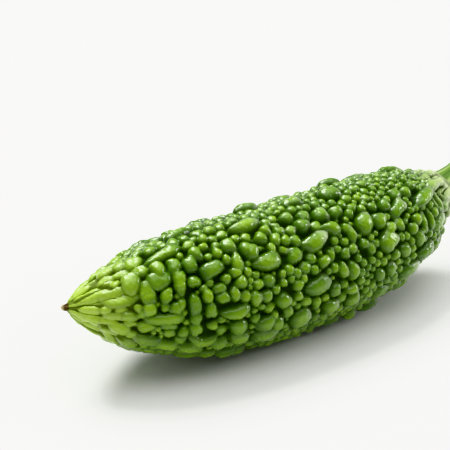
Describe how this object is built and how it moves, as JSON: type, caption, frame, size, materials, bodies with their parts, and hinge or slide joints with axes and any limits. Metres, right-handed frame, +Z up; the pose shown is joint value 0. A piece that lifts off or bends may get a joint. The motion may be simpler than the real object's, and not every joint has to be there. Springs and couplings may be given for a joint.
{
  "type": "bitter gourd",
  "caption": "Bitter gourd lying on its side: a bent, warty spindle with a ribbed cut stem at one end and a dried blossom remnant at the pointed end.",
  "frame": {"origin": "on the table, under the middle of the whole length from blossom remnant to stem cut", "axes": "+X along the fruit towards its stem, +Z up off the table; the fruit bows towards -Y"},
  "size_m": [0.2404, 0.0622, 0.0609],
  "materials": {
    "gourd_skin": "satin",
    "stem_flesh": "satin",
    "dried_blossom": "matte"
  },
  "bodies": {
    "root": {"fruit": "gourd_skin", "stem": "stem_flesh", "blossom_tip": "dried_blossom"}
  },
  "joints": []
}
